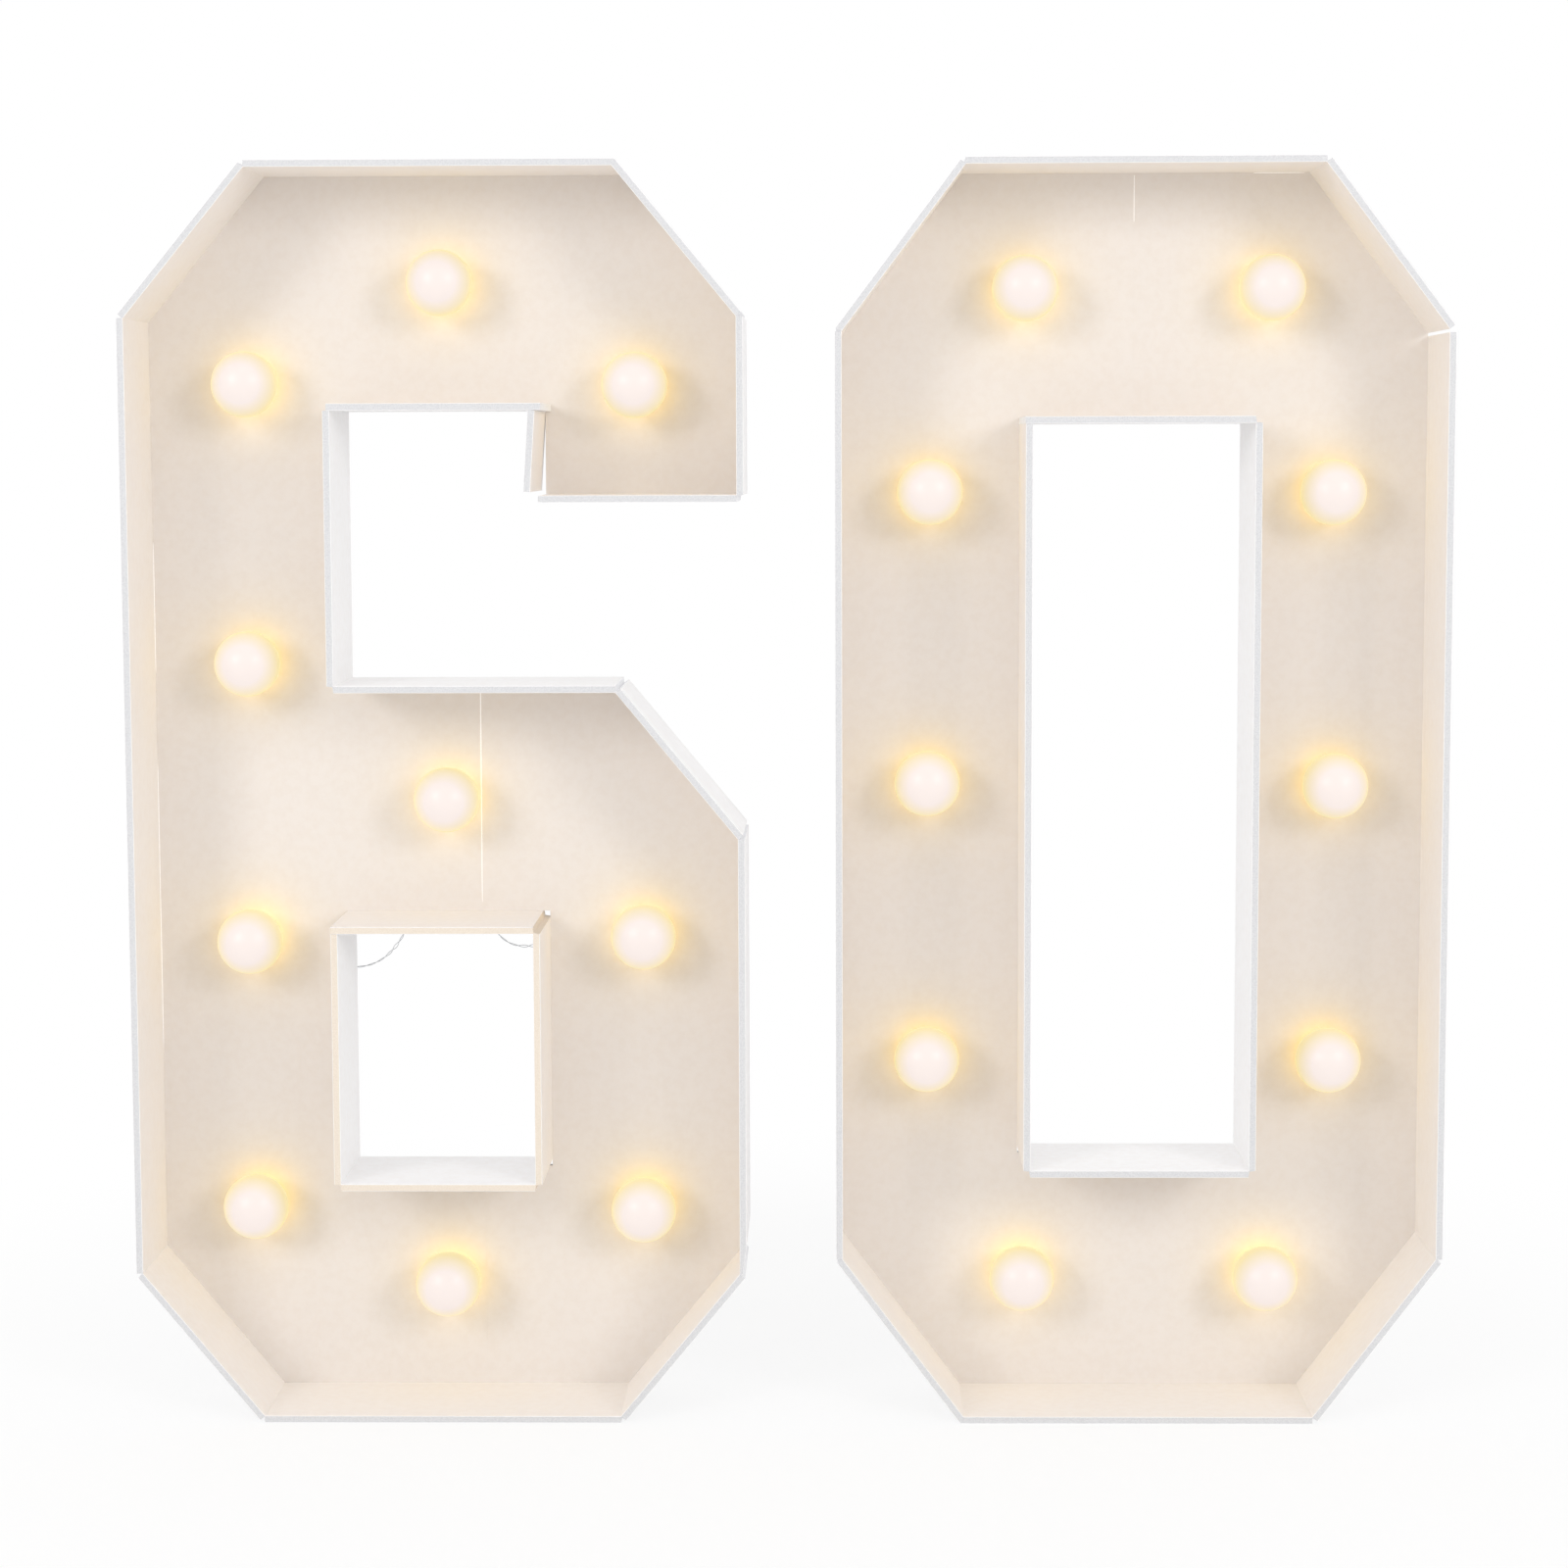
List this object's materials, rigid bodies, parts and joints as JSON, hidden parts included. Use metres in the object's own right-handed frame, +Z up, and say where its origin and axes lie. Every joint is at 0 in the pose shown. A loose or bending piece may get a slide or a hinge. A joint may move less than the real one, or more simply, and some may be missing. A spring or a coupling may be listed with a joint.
{
  "type": "light up marquee number",
  "caption": "Free-standing light-up number: two open-fronted foam board digits, each with a string of round globes and a battery box behind",
  "frame": {"origin": "On the floor under the middle of the pair: the middle of the box round both digits, at its lowest plane.", "axes": "+X to the viewer's right along the pair, +Y to the back of the digits, +Z up."},
  "size_m": [0.951, 0.1182, 0.914],
  "materials": {
    "foam_board": "matt paper face",
    "warm_globe": "frosted, lit from inside",
    "clear_lead": "smooth clear insulation",
    "battery_case": "fine moulded texture",
    "switch_knob": "satin",
    "cell_jacket": "gloss printed jacket, plain",
    "contact_steel": "bright plated"
  },
  "bodies": {
    "root": {"six_panel_upper": "foam_board", "six_panel_lower_left": "foam_board", "six_panel_lower_right": "foam_board", "six_strip_left_lower": "foam_board", "six_strip_left_upper": "foam_board", "six_strip_top": "foam_board", "six_strip_arm": "foam_board", "six_strip_arm_end": "foam_board", "six_strip_notch_top": "foam_board", "six_strip_notch_ledge": "foam_board", "six_strip_right": "foam_board", "six_strip_base": "foam_board", "six_strip_window": "foam_board", "six_globe_top": "warm_globe", "six_globe_left_1": "warm_globe", "six_globe_right_1": "warm_globe", "six_globe_left_2": "warm_globe", "six_globe_middle": "warm_globe", "six_globe_left_3": "warm_globe", "six_globe_right_2": "warm_globe", "six_globe_left_4": "warm_globe", "six_globe_right_3": "warm_globe", "six_globe_foot": "warm_globe", "six_harness": "clear_lead", "six_battery_case": "battery_case", "six_cell_left": "cell_jacket", "six_cell_right": "cell_jacket", "six_contact_spring": "contact_steel", "six_contact_plate": "contact_steel", "six_contact_bridge": "contact_steel", "zero_panel_upper_left": "foam_board", "zero_panel_upper_right": "foam_board", "zero_panel_lower": "foam_board", "zero_strip_left": "foam_board", "zero_strip_top": "foam_board", "zero_strip_right_upper": "foam_board", "zero_strip_right_lower": "foam_board", "zero_strip_base": "foam_board", "zero_strip_window": "foam_board", "zero_globe_top_1": "warm_globe", "zero_globe_top_2": "warm_globe", "zero_globe_left_1": "warm_globe", "zero_globe_left_2": "warm_globe", "zero_globe_left_3": "warm_globe", "zero_globe_right_1": "warm_globe", "zero_globe_right_2": "warm_globe", "zero_globe_right_3": "warm_globe", "zero_globe_bottom_1": "warm_globe", "zero_globe_bottom_2": "warm_globe", "zero_harness": "clear_lead", "zero_battery_case": "battery_case", "zero_cell_left": "cell_jacket", "zero_cell_right": "cell_jacket", "zero_contact_spring": "contact_steel", "zero_contact_plate": "contact_steel", "zero_contact_bridge": "contact_steel"},
    "six_cover": {"six_battery_cover": "battery_case"},
    "six_knob": {"six_switch": "switch_knob"},
    "zero_cover": {"zero_battery_cover": "battery_case"},
    "zero_knob": {"zero_switch": "switch_knob"}
  },
  "joints": [
    {"name": "six_cover_slide", "type": "slide", "parent": "root", "child": "six_cover", "axis": [0, 0, 1], "range_m": [0, 0.052]},
    {"name": "six_switch_slide", "type": "slide", "parent": "root", "child": "six_knob", "axis": [1, 0, 0], "range_m": [0, 0.0035]},
    {"name": "zero_cover_slide", "type": "slide", "parent": "root", "child": "zero_cover", "axis": [0, 0, 1], "range_m": [0, 0.052]},
    {"name": "zero_switch_slide", "type": "slide", "parent": "root", "child": "zero_knob", "axis": [1, 0, 0], "range_m": [0, 0.0035]}
  ]
}
